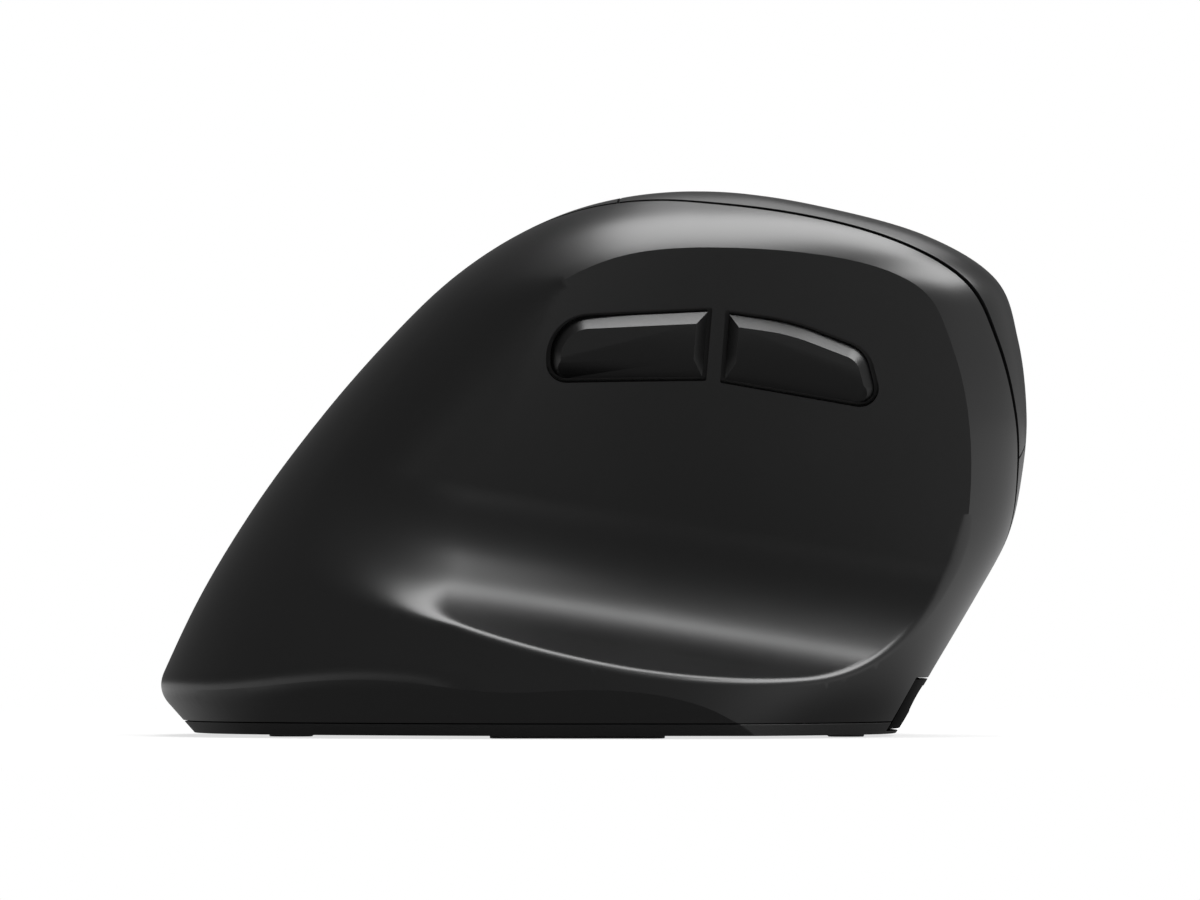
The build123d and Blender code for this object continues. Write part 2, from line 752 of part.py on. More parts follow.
with BuildPart() as chassis:
    with BuildSketch(Plane.XZ.offset(-chassis_rear_y)):
        with BuildLine():
            Polyline(
                (side_leg_x + (leg_low - side_centre_z) * side_tan, leg_low),
                (side_leg_x + (fold_z - side_centre_z) * side_tan, fold_z),
                (fold_x, fold_z),
                (finger_leg_x, leg_fold_z),
                (finger_leg_x, leg_low),
            )
        trace(line_width=chassis_thick)
    extrude(amount=chassis_rear_y - chassis_front_y)
    split(bisect_by=Plane.XY.offset(base_top), keep=Keep.TOP)
    with BuildSketch(Plane.XY.offset(base_top)):
        with Locations((0, chassis_front_y)):
            Rectangle(2 * chassis_front_y, 2 * (chassis_front_y - chassis_leg_front_y))
    extrude(amount=chassis_leg_top - base_top, mode=Mode.SUBTRACT)
    with BuildSketch(finger_plane.offset(-chassis_depth - chassis_thick)):
        add(wheel_window(2 * chassis_thick))
    extrude(amount=3 * chassis_thick, mode=Mode.SUBTRACT)
    with BuildSketch(Plane.YZ.offset(2 * finger_leg_x)):
        with Locations(*leg_holes):
            RectangleRounded(*leg_hole_size, leg_hole_corner)
    extrude(amount=-4 * finger_leg_x, mode=Mode.SUBTRACT)
chassis.part.label = "chassis"
export_step(chassis.part, "parts/chassis.step")

# button board on the slope
with BuildPart() as button_board:
    with BuildSketch(finger_plane.offset(board_low)):
        with Locations(((button_board_rear + button_board_front) / 2, 0)):
            Rectangle(button_board_front - button_board_rear, button_board_wide)
        add(wheel_window(4 * fit_gap), mode=Mode.SUBTRACT)
    extrude(amount=board_thick)
button_board.part.label = "button_board"
export_step(button_board.part, "parts/button_board.step")

# side board on the thumb leg
side_board_low = -side_leg_depth + chassis_thick / 2 + fit_gap
with BuildPart() as side_board:
    with BuildSketch(side_plane.offset(side_board_low)):
        with Locations(side_board_place):
            RectangleRounded(*side_board_size, board_corner)
    extrude(amount=board_thick)
side_board.part.label = "side_board"
export_step(side_board.part, "parts/side_board.step")

# main board on the base posts
with BuildPart() as main_board:
    with BuildSketch(Plane.XY.offset(board_level)):
        with Locations(main_board_place):
            RectangleRounded(*main_board_size, board_corner)
        with Locations((sensor_x, sensor_y)):
            Circle(sensor_hole_radius, mode=Mode.SUBTRACT)
    extrude(amount=board_thick)
main_board.part.label = "main_board"
export_step(main_board.part, "parts/main_board.step")


def main_switch(switch_down):
    """Body and plunger of a main microswitch on the button board."""
    board_plane = finger_plane.offset(board_top)
    with BuildPart() as case:
        with BuildSketch(board_plane):
            with Locations((switch_y + switch_front - switch_long / 2, switch_down)):
                Rectangle(switch_long, switch_wide)
        extrude(amount=switch_high)
        with BuildSketch(board_plane.offset(switch_high - plunger_seat)):
            with Locations((switch_y, switch_down)):
                Rectangle(plunger_size[0] + fit_gap, plunger_size[1] + fit_gap)
        extrude(amount=plunger_seat, mode=Mode.SUBTRACT)
    with BuildPart() as plunger:
        with BuildSketch(board_plane.offset(switch_high - plunger_seat + plunger_room)):
            with Locations((switch_y, switch_down)):
                Rectangle(*plunger_size)
        extrude(amount=plunger_seat - plunger_room + plunger_high)
    return case.part, plunger.part


def small_switch(plane, at, top):
    """Body and plunger of a small square switch on a plane, with the plunger's top level."""
    high = top - tact_out
    with BuildPart() as case:
        with BuildSketch(plane):
            with Locations(at):
                Rectangle(tact_wide, tact_wide)
        extrude(amount=high)
        with BuildSketch(plane.offset(high / 2)):
            with Locations(at):
                Circle(tact_plunger_radius + tact_bore_gap)
        extrude(amount=high, mode=Mode.SUBTRACT)
    with BuildPart() as plunger:
        with BuildSketch(plane.offset(high / 2 + plunger_foot_gap)):
            with Locations(at):
                Circle(tact_plunger_radius)
        extrude(amount=top - high / 2 - plunger_foot_gap)
    return case.part, plunger.part


finger_board_plane = finger_plane.offset(board_top)
side_board_plane = side_plane.offset(side_board_low + board_thick)
side_plunger_top = -side_stem - press_gap - side_board_low - board_thick
switches = {
    "index": main_switch(index_switch_down),
    "middle": main_switch(middle_switch_down),
    "wheel": small_switch(finger_board_plane, (cradle_tab_y, 0), wheel_switch_top),
    "resolution": small_switch(finger_board_plane, (resolution_y, 0), resolution_switch_top),
    "back": small_switch(side_board_plane, back_switch, side_plunger_top),
    "forward": small_switch(side_board_plane, forward_switch, side_plunger_top),
}
for name, (case_part, plunger_part) in switches.items():
    with BuildPart() as switch_case:
        add(case_part)
    switch_case.part.label = name + "_switch"
    export_step(switch_case.part, "parts/" + name + "_switch.step")
    with BuildPart() as switch_plunger:
        add(plunger_part)
    switch_plunger.part.label = name + "_plunger"
    export_step(switch_plunger.part, "parts/" + name + "_plunger.step")

# resolution button: cap, flange under the covers, and a stem to its switch
flange_low = -wall - resolution_sag - resolution_flange
stem_low = board_top + resolution_switch_top + press_gap
with BuildPart() as resolution_button:
    with BuildSketch(finger_plane.offset(flange_low)):
        with Locations((resolution_y, 0)):
            SlotOverall(
                resolution_long + 2 * resolution_flange_out,
                resolution_wide + 2 * resolution_flange_out,
            )
    extrude(amount=resolution_flange)
    with BuildSketch(finger_plane.offset(flange_low + resolution_flange)):
        with Locations((resolution_y, 0)):
            SlotOverall(resolution_long - 2 * resolution_gap, resolution_wide - 2 * resolution_gap)
    extrude(amount=resolution_proud - flange_low - resolution_flange)
    fillet(resolution_button.faces().sort_by(finger_axis)[-1].edges(), resolution_edge)
    with BuildSketch(finger_plane.offset(stem_low)):
        with Locations((resolution_y, 0)):
            Circle(resolution_stem_radius)
    extrude(amount=flange_low - stem_low)
resolution_button.part.label = "resolution_button"
export_step(resolution_button.part, "parts/resolution_button.step")

# scroll wheel: hub, tyre, axle, cradle and encoder
wheel_plane = Plane(
    origin=finger_plane.from_local_coords((wheel_y, 0, -wheel_depth)),
    x_dir=(0, 1, 0),
    z_dir=down_slope,
)
hub_radius = wheel_radius - tyre_thickness
with BuildPart() as wheel_hub:
    with BuildSketch(wheel_plane.offset(-wheel_width / 2)):
        Circle(hub_radius)
    extrude(amount=wheel_width)
    for level in (-wheel_width / 2, wheel_width / 2 - hub_recess):
        with BuildSketch(wheel_plane.offset(level)):
            Circle(hub_radius - hub_rim)
            Circle(axle_radius + hub_boss, mode=Mode.SUBTRACT)
        extrude(amount=hub_recess, mode=Mode.SUBTRACT)
    with BuildSketch(wheel_plane.offset(-wheel_width)):
        Circle(axle_radius + running_gap)
        with PolarLocations((hub_radius - hub_rim + axle_radius + hub_boss) / 2, hub_holes):
            Circle(hub_hole_radius)
    extrude(amount=2 * wheel_width, mode=Mode.SUBTRACT)
wheel_hub.part.label = "wheel_hub"
export_step(wheel_hub.part, "parts/wheel_hub.step")

with BuildPart() as wheel_tyre:
    with BuildSketch(wheel_plane.offset(-wheel_width / 2)):
        Circle(wheel_radius)
        Circle(hub_radius, mode=Mode.SUBTRACT)
        with PolarLocations(wheel_radius, tyre_grooves):
            Rectangle(2 * groove_depth, groove_wide, mode=Mode.SUBTRACT)
    extrude(amount=wheel_width)
wheel_tyre.part.label = "wheel_tyre"
export_step(wheel_tyre.part, "parts/wheel_tyre.step")

with BuildPart() as wheel_axle:
    with BuildSketch(wheel_plane.offset(fit_gap - cheek_outer)):
        Circle(axle_radius)
    extrude(amount=2 * cheek_outer - fit_gap + encoder_thick)
wheel_axle.part.label = "wheel_axle"
export_step(wheel_axle.part, "parts/wheel_axle.step")

ring_rear = wheel_y - ring_long / 2
ring_hole_long = 2 * (wheel_radius + slot_gap)
tab_rear = cradle_tab_y - cradle_tab_wide / 3
with BuildPart() as wheel_cradle:
    with BuildSketch(finger_plane.offset(-cradle_low)):
        with Locations((wheel_y, 0)):
            Rectangle(ring_long, 2 * cheek_outer)
            Rectangle(ring_hole_long, wheel_width + 2 * slot_gap, mode=Mode.SUBTRACT)
    extrude(amount=cradle_low - cradle_high)
    with BuildSketch(finger_plane.offset(-cradle_high)):
        for cheek in (cheek_outer - cradle_wall / 2, cradle_wall / 2 - cheek_outer):
            with Locations((wheel_y, cheek)):
                Rectangle(cheek_long, cradle_wall)
        with Locations((ring_rear + cradle_wall / 4, 0)):
            Rectangle(cradle_wall / 2, cradle_tab_wide)
    extrude(amount=cradle_high - cheek_high)
    with BuildSketch(finger_plane.offset(board_top + wheel_switch_top + press_gap)):
        with Locations(((tab_rear + ring_rear + cradle_wall / 2) / 2, 0)):
            Rectangle(ring_rear + cradle_wall / 2 - tab_rear, cradle_tab_wide)
    extrude(amount=cradle_tab_thick)
    with BuildSketch(wheel_plane.offset(-2 * cheek_outer)):
        Circle(axle_radius + running_gap)
    extrude(amount=4 * cheek_outer, mode=Mode.SUBTRACT)
wheel_cradle.part.label = "wheel_cradle"
export_step(wheel_cradle.part, "parts/wheel_cradle.step")

with BuildPart() as wheel_encoder:
    with BuildSketch(wheel_plane.offset(cheek_outer)):
        RectangleRounded(*encoder_size, small_corner)
        Circle(axle_radius + running_gap, mode=Mode.SUBTRACT)
    extrude(amount=encoder_thick)
wheel_encoder.part.label = "wheel_encoder"
export_step(wheel_encoder.part, "parts/wheel_encoder.step")

# sensor over its lens
with BuildPart() as optical_sensor:
    with BuildSketch(Plane.XY.offset(board_level + board_thick)):
        with Locations((sensor_x, sensor_y)):
            Rectangle(sensor_size[0], sensor_size[1])
    extrude(amount=sensor_size[2])
    chamfer(optical_sensor.faces().sort_by(Axis.Z)[-1].edges(), sensor_chamfer)
optical_sensor.part.label = "optical_sensor"
export_step(optical_sensor.part, "parts/optical_sensor.step")

with BuildPart() as sensor_lens:
    with BuildSketch(Plane.XY.offset(foot_height + lens_sunk)):
        with Locations((sensor_x, sensor_y)):
            RectangleRounded(
                lens_window[0] - 2 * fit_gap,
                lens_window[1] - 2 * fit_gap,
                window_corner - fit_gap,
            )
    extrude(amount=base_top - foot_height - lens_sunk)
    with BuildSketch(Plane.XY.offset(base_top)):
        with Locations((sensor_x, sensor_y)):
            RectangleRounded(lens_flange[0], lens_flange[1], window_corner)
    extrude(amount=lens_flange[2])
    with BuildSketch(Plane.XY.offset(base_top + lens_flange[2])):
        with Locations((sensor_x, sensor_y)):
            Circle(lens_radius)
    extrude(amount=board_level - base_top - lens_flange[2] - fit_gap)
sensor_lens.part.label = "sensor_lens"
export_step(sensor_lens.part, "parts/sensor_lens.step")

# battery on the base plate
with BuildPart() as battery:
    with BuildSketch(Plane.XY.offset(base_top + fit_gap)):
        with Locations((0, battery_y)):
            RectangleRounded(battery_size[0], battery_size[1], battery_corner)
    extrude(amount=battery_size[2])
    fillet(battery.edges().filter_by(Plane.XY), battery_edge)
battery.part.label = "battery"
export_step(battery.part, "parts/battery.step")

# charge socket and port insert
socket_middle = socket_level + socket_high / 2
with BuildPart() as charge_socket:
    with BuildSketch(Plane.XZ.offset(-socket_front)):
        with Locations((socket_x, socket_middle)):
            SlotOverall(socket_wide, socket_high)
    extrude(amount=socket_long)
    with BuildSketch(Plane.XZ.offset(-socket_front)):
        with Locations((socket_x, socket_middle)):
            SlotOverall(socket_wide - 2 * socket_shell, socket_high - 2 * socket_shell)
            Rectangle(*socket_tongue, mode=Mode.SUBTRACT)
    extrude(amount=socket_long - socket_back, mode=Mode.SUBTRACT)
charge_socket.part.label = "charge_socket"
export_step(charge_socket.part, "parts/charge_socket.step")

with BuildPart() as port_insert:
    add(insert_block(0))
    add(solid_form.part, mode=Mode.INTERSECT)
    with BuildSketch(Plane.XZ.offset(-2 * insert_rear)):
        with Locations((socket_x, socket_middle)):
            SlotOverall(socket_wide + 2 * socket_room, socket_high + 2 * socket_room)
    extrude(amount=2 * insert_rear, mode=Mode.SUBTRACT)
port_insert.part.label = "port_insert"
export_step(port_insert.part, "parts/port_insert.step")

# power switch on the base: its case bridges the slider's flange
power_room = (power_flange[0] + 2 * fit_gap, power_flange[1] + 2 * fit_gap + power_travel)
with BuildPart() as power_switch:
    with BuildSketch(Plane.XY.offset(base_top)):
        with Locations((power_x, power_y)):
            Rectangle(power_room[0] + 2 * power_case_wall, power_room[1] + 2 * power_case_wall)
    extrude(amount=power_case_high)
    with BuildSketch(Plane.XY.offset(base_top)):
        with Locations((power_x, power_y)):
            Rectangle(*power_room)
    extrude(amount=power_flange[2] + 2 * fit_gap, mode=Mode.SUBTRACT)
power_switch.part.label = "power_switch"
export_step(power_switch.part, "parts/power_switch.step")

with BuildPart() as power_slider:
    with BuildSketch(Plane.XY.offset(base_top + fit_gap)):
        with Locations((power_x, power_y - power_travel / 2)):
            Rectangle(power_flange[0], power_flange[1])
    extrude(amount=power_flange[2])
    with BuildSketch(Plane.XY.offset(foot_height + power_knob_sunk)):
        with Locations((power_x, power_y - power_travel / 2)):
            Rectangle(*power_knob)
    extrude(amount=base_top + fit_gap - foot_height - power_knob_sunk)
power_slider.part.label = "power_slider"
export_step(power_slider.part, "parts/power_slider.step")
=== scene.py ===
import bpy, bmesh, json, math
import numpy as np
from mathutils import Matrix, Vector, geometry, kdtree


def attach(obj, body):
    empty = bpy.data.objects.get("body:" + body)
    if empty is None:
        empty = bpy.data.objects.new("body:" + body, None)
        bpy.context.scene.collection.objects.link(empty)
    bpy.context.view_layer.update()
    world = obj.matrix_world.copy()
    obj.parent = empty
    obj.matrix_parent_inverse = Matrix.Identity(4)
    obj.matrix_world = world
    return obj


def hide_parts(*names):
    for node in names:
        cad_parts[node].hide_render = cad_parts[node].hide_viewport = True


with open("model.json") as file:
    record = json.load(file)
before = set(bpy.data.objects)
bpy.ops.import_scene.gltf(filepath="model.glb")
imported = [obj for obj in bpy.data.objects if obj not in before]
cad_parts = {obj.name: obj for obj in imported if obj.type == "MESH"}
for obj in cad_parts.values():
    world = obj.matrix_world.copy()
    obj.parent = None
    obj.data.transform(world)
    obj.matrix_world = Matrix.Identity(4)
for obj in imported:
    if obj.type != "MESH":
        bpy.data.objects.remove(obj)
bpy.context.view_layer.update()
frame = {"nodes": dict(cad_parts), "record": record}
mm = 0.001
print("frame loaded:", len(frame["nodes"]), "nodes")


# nodes that materials, floor and world share

noiseSpan = (0.3, 0.7)      # where most of a noise's values lie


def mapRange(nodes, links, value, low, high, start=0.0, end=1.0, smooth=False):
    node = nodes.new("ShaderNodeMapRange")
    if smooth:
        node.interpolation_type = "SMOOTHSTEP"
    node.inputs["From Min"].default_value = start
    node.inputs["From Max"].default_value = end
    node.inputs["To Min"].default_value = low
    node.inputs["To Max"].default_value = high
    links.new(value, node.inputs["Value"])
    return node


def mathOn(nodes, links, operation, *values):
    node = nodes.new("ShaderNodeMath")
    node.operation = operation
    for value, socket in zip(values, node.inputs):
        links.new(value, socket)
    return node.outputs[0]


def mixShaders(nodes, links, share, first, second):
    node = nodes.new("ShaderNodeMixShader")
    for value, socket in zip((share, first, second), node.inputs):
        links.new(value, socket)
    return node.outputs[0]


# materials

def newMaterial(name):
    mat = bpy.data.materials.new(name)
    mat.use_nodes = True
    mat.node_tree.nodes.clear()
    shader = mat.node_tree.nodes.new("ShaderNodeBsdfPrincipled")
    out = mat.node_tree.nodes.new("ShaderNodeOutputMaterial")
    mat.node_tree.links.new(shader.outputs["BSDF"], out.inputs["Surface"])
    return mat, mat.node_tree.nodes, mat.node_tree.links, shader


def objectCoords(nodes, links, scale=(1, 1, 1)):
    coords = nodes.new("ShaderNodeTexCoord")
    mapping = nodes.new("ShaderNodeMapping")
    mapping.inputs["Scale"].default_value = scale
    links.new(coords.outputs["Object"], mapping.inputs["Vector"])
    return mapping.outputs["Vector"]


def noiseOn(nodes, links, vector, scale, detail=2.0, rough=0.5):
    noise = nodes.new("ShaderNodeTexNoise")
    noise.inputs["Scale"].default_value = scale
    noise.inputs["Detail"].default_value = detail
    noise.inputs["Roughness"].default_value = rough
    links.new(vector, noise.inputs["Vector"])
    return noise.outputs["Fac"]


def colourBy(nodes, links, shader, pattern, look, span=noiseSpan):
    node = nodes.new("ShaderNodeValToRGB")
    for element, place, colour in zip(node.color_ramp.elements, span, (look["dark"], look["light"])):
        element.position = place
        element.color = (*colour, 1)
    links.new(pattern, node.inputs["Fac"])
    links.new(node.outputs["Color"], shader.inputs["Base Color"])


def roughnessBy(nodes, links, shader, pattern, look):
    rough = mapRange(nodes, links, pattern, *look["roughness"], *noiseSpan)
    links.new(rough.outputs["Result"], shader.inputs["Roughness"])


def bumpBy(nodes, links, shader, pattern, look):
    bump = nodes.new("ShaderNodeBump")
    bump.inputs["Strength"].default_value = look["grain"]
    bump.inputs["Distance"].default_value = look["grainDepth"]
    links.new(pattern, bump.inputs["Height"])
    links.new(bump.outputs["Normal"], shader.inputs["Normal"])


plainPlastic = {"flowScale": 35.0, "grainScale": 5200.0, "grain": 0.25, "grainDepth": 0.00002,
                "specular": 0.5}


def mouldedPlastic(name, look):
    # plastic with a fine spark-eroded grain and faint flow marks
    look = {**plainPlastic, **look}
    mat, nodes, links, shader = newMaterial(name)
    coords = objectCoords(nodes, links)
    flow = noiseOn(nodes, links, coords, look["flowScale"], 3.0)
    grain = noiseOn(nodes, links, coords, look["grainScale"], 2.0, 0.6)
    colourBy(nodes, links, shader, flow, look)
    roughnessBy(nodes, links, shader, flow, look)
    bumpBy(nodes, links, shader, grain, look)
    shader.inputs["Specular IOR Level"].default_value = look["specular"]
    return mat


def brushedMetal(name, look):
    mat, nodes, links, shader = newMaterial(name)
    coords = objectCoords(nodes, links, look["stretch"])
    lines = noiseOn(nodes, links, coords, look["lineScale"], 3.0, 0.6)
    colourBy(nodes, links, shader, lines, look)
    roughnessBy(nodes, links, shader, lines, look)
    bumpBy(nodes, links, shader, lines, look)
    shader.inputs["Metallic"].default_value = 1.0
    return mat


def softRubber(name, look):
    mat, nodes, links, shader = newMaterial(name)
    coords = objectCoords(nodes, links)
    specks = noiseOn(nodes, links, coords, look["speckScale"], 4.0, 0.7)
    colourBy(nodes, links, shader, specks, look)
    roughnessBy(nodes, links, shader, specks, look)
    bumpBy(nodes, links, shader, specks, look)
    shader.inputs["Specular IOR Level"].default_value = look["specular"]
    return mat


def solderMask(name, look):
    mat, nodes, links, shader = newMaterial(name)
    coords = objectCoords(nodes, links)
    cells = nodes.new("ShaderNodeTexVoronoi")
    cells.distance = "MANHATTAN"
    cells.inputs["Scale"].default_value = look["cellScale"]
    links.new(coords, cells.inputs["Vector"])
    colourBy(nodes, links, shader, cells.outputs["Distance"], look, look["cellEdge"])
    bumpBy(nodes, links, shader, cells.outputs["Distance"], look)
    shader.inputs["Roughness"].default_value = look["evenRoughness"]
    return mat


def clearPlastic(name, look):
    mat, nodes, links, shader = newMaterial(name)
    coords = objectCoords(nodes, links)
    haze = noiseOn(nodes, links, coords, look["hazeScale"])
    colourBy(nodes, links, shader, haze, look)
    roughnessBy(nodes, links, shader, haze, look)
    shader.inputs["Transmission Weight"].default_value = look["clear"]
    shader.inputs["IOR"].default_value = look["ior"]
    return mat


satin = {"dark": (0.0028, 0.0028, 0.0029), "light": (0.0038, 0.0038, 0.004), "roughness": (0.29, 0.33),
         "specular": 0.9, "grain": 0.2}
looks = {
    "satinShell": (mouldedPlastic, satin),
    "satinButton": (mouldedPlastic, satin),
    "mattInsert": (mouldedPlastic, {
        "dark": (0.001, 0.001, 0.001), "light": (0.0016, 0.0016, 0.0016), "roughness": (0.42, 0.5),
        "specular": 0.02, "grain": 0.35}),
    "mattBase": (mouldedPlastic, {
        "dark": (0.02, 0.02, 0.02), "light": (0.026, 0.026, 0.026), "roughness": (0.45, 0.55),
        "grain": 0.5, "grainScale": 2600.0, "grainDepth": 0.00004}),
    "innerPlastic": (mouldedPlastic, {
        "dark": (0.02, 0.02, 0.021), "light": (0.03, 0.03, 0.031), "roughness": (0.45, 0.55)}),
    "glidePad": (mouldedPlastic, {
        "dark": (0.22, 0.22, 0.23), "light": (0.28, 0.28, 0.29), "roughness": (0.3, 0.4), "grain": 0.1}),
    "whitePlunger": (mouldedPlastic, {
        "dark": (0.68, 0.66, 0.6), "light": (0.76, 0.74, 0.68), "roughness": (0.35, 0.42)}),
    "wheelHub": (mouldedPlastic, {
        "dark": (0.03, 0.03, 0.032), "light": (0.04, 0.04, 0.042), "roughness": (0.28, 0.34)}),
    "chipBlack": (mouldedPlastic, {
        "dark": (0.01, 0.01, 0.01), "light": (0.016, 0.016, 0.016), "roughness": (0.4, 0.5)}),
    "tyreRubber": (softRubber, {
        "dark": (0.012, 0.012, 0.012), "light": (0.02, 0.02, 0.02), "roughness": (0.6, 0.75),
        "speckScale": 2600.0, "specular": 0.4, "grain": 0.4, "grainDepth": 0.00003}),
    "springSteel": (brushedMetal, {
        "dark": (0.5, 0.5, 0.5), "light": (0.66, 0.66, 0.66), "roughness": (0.25, 0.38),
        "stretch": (1, 12, 1), "lineScale": 900.0, "grain": 0.15, "grainDepth": 0.00002}),
    "cellFoil": (brushedMetal, {
        "dark": (0.6, 0.61, 0.63), "light": (0.7, 0.71, 0.73), "roughness": (0.3, 0.4),
        "stretch": (1, 12, 1), "lineScale": 500.0, "grain": 0.15, "grainDepth": 0.00002}),
    "boardGreen": (solderMask, {
        "dark": (0.012, 0.08, 0.035), "light": (0.02, 0.12, 0.05), "evenRoughness": 0.35,
        "cellScale": 420.0, "cellEdge": (0.25, 0.4), "grain": 0.2, "grainDepth": 0.00003}),
    "lensClear": (clearPlastic, {
        "dark": (0.86, 0.88, 0.9), "light": (0.95, 0.96, 0.97), "roughness": (0.04, 0.09),
        "hazeScale": 400.0, "clear": 0.85, "ior": 1.49}),
}
finishes = {name: make(name, look) for name, (make, look) in looks.items()}
nodeFinish = {
    "satinShell": ["thumb_shell", "palm_cover"],
    "satinButton": ["index_button", "middle_button", "back_button", "forward_button", "resolution_button"],
    "mattInsert": ["port_insert"],
    "mattBase": ["base_plate"],
    "innerPlastic": ["chassis", "wheel_cradle"],
    "glidePad": ["glide_feet"],
    "whitePlunger": [n for n in frame["nodes"] if n.endswith("_plunger")] + ["power_slider"],
    "wheelHub": ["wheel_hub"],
    "chipBlack": [n for n in frame["nodes"] if n.endswith("_switch")] + ["wheel_encoder", "optical_sensor"],
    "tyreRubber": ["wheel_tyre"],
    "springSteel": ["base_screws", "wheel_axle", "charge_socket"],
    "cellFoil": ["battery"],
    "boardGreen": ["button_board", "side_board", "main_board"],
    "lensClear": ["sensor_lens"],
}
bodyOf = {node: body for body, nodes in frame["record"]["behaviour"]["bodies"].items() for node in nodes}
print("finishes:", len(finishes))


# the body's own form in mm and degrees, which the covers are fitted to and shaded by

form = {
    "top": 75.2, "ridgeX": 8.0, "ridgeY": 14.0,
    "rear": [(0, 14.0), (0.16, -0.3), (0.283, -10.3), (0.4, -19.3), (0.522, -28.1),
             (0.641, -37.2), (0.759, -46.5), (0.861, -54.1), (0.952, -60.0), (1.0, -63.0)],
    "front": [(0, 14.0), (0.16, 30.8), (0.283, 45.8), (0.4, 55.6), (0.522, 58.8),
              (0.641, 60.0), (0.719, 59.4), (0.794, 57.5), (0.861, 53.1), (0.952, 45.8), (1.0, 41.6)],
    "thumbRound": 20.0, "thumbLean": 12.0, "fingerRound": 16.0, "fingerLean": 31.5,
    "flare": 22.0, "footLean": 20.0, "flareSoft": 4.0,
    "middleRear": 8.0, "middleFront": 2.0, "middleThumb": 14.0, "middleFinger": 10.0,
    "rearSquare": 2.1, "frontSquare": 2.0, "fingerSquare": 0.5, "thumbSquare": 1.9,
}
scoopForm = {
    "tilt": 9.5, "levelY": 12.0, "wallX": 20.0, "wallLevel": 29.0, "wallLean": 6.0, "lipX": 38.5,
    "lipLevel": 8.2, "ledge": 22.0, "fillet": 18.0, "bendY": 5.0, "bend": 175.0,
}
softRidge = {"radius": 8.0, "crispY": -2.0, "softY": -15.0, "crispZ": 13.0, "softZ": 25.0}
lip = {"radius": 0.9, "fullZ": 26.0, "goneZ": 36.0, "reach": 1.5, "edges": (0.8, 0.4)}


def curveAt(points, at):
    # smooth curve through (place, value) points
    places, values = np.array(points).T
    last = len(points) - 1
    k = np.clip(np.searchsorted(places, at, side="left") - 1, 0, last - 1)
    low, high = np.maximum(np.arange(last + 1) - 1, 0), np.minimum(np.arange(last + 1) + 1, last)
    slopes = (values[high] - values[low]) / (places[high] - places[low])
    span = places[k + 1] - places[k]
    s = (at - places[k]) / span
    return ((1 + 2 * s) * (1 - s) ** 2 * values[k] + s * (1 - s) ** 2 * span * slopes[k]
            + s * s * (3 - 2 * s) * values[k + 1] + s * s * (s - 1) * span * slopes[k + 1])


def roundThenLean(drop, radius, lean):
    # how far a side reaches out at a drop below the top: round first, then straight at a lean
    lean = math.radians(lean)
    turn = radius * (1 - math.sin(lean))
    arc = np.sqrt(np.maximum(radius ** 2 - (radius - np.minimum(drop, turn)) ** 2, 1e-9))
    return np.where(drop < turn, arc, radius * math.cos(lean) + (drop - turn) * math.tan(lean))


def softBend(value, width):
    # nothing up to 0 and then straight up, with the bend eased over a width on both sides
    eased = (np.clip(value, -width, width) + width) ** 2 / (4 * width)
    return np.where(value > width, value, eased)


def easeIn(value):
    value = np.clip(value, 0, 1)
    return value * value * (3 - 2 * value)


def hullLevel(p):
    # under 0 inside the body, over 0 outside
    x, y, z = p[:, 0], p[:, 1], p[:, 2]
    share = np.clip(1 - z / form["top"], 1e-5, 1)
    depth, drop = np.sqrt(share), share * form["top"]
    easier = math.tan(math.radians(form["fingerLean"])) - math.tan(math.radians(form["footLean"]))
    finger = form["ridgeX"] - roundThenLean(drop, form["fingerRound"], form["fingerLean"])
    finger += softBend(drop - form["top"] + form["flare"], form["flareSoft"]) * easier
    thumb = form["ridgeX"] + roundThenLean(drop, form["thumbRound"], form["thumbLean"])
    rear, front = curveAt(form["rear"], depth), curveAt(form["front"], depth)
    rearX, frontX = form["ridgeX"] - form["middleRear"] * share, form["ridgeX"] - form["middleFront"] * share
    thumbY = form["ridgeY"] - form["middleThumb"] * share
    fingerY = form["ridgeY"] - form["middleFinger"] * share
    middleY = np.where(x > (rearX + frontX) / 2, thumbY, fingerY)
    middleX = np.where(y < middleY, rearX, frontX)
    middleY = np.where(x > middleX, thumbY, fingerY)
    reachX = np.where(x > middleX, thumb - middleX, middleX - finger)
    reachY = np.where(y < middleY, middleY - rear, front - middleY)
    square = form["frontSquare"] + np.where(x > middleX, form["thumbSquare"] * (1 - share) ** 3,
                                            form["fingerSquare"] * depth)
    power = np.where(y < middleY, form["rearSquare"], square)
    total = (np.abs(x - middleX) / reachX) ** power + (np.abs(y - middleY) / reachY) ** power
    return total ** (1 / power) - 1


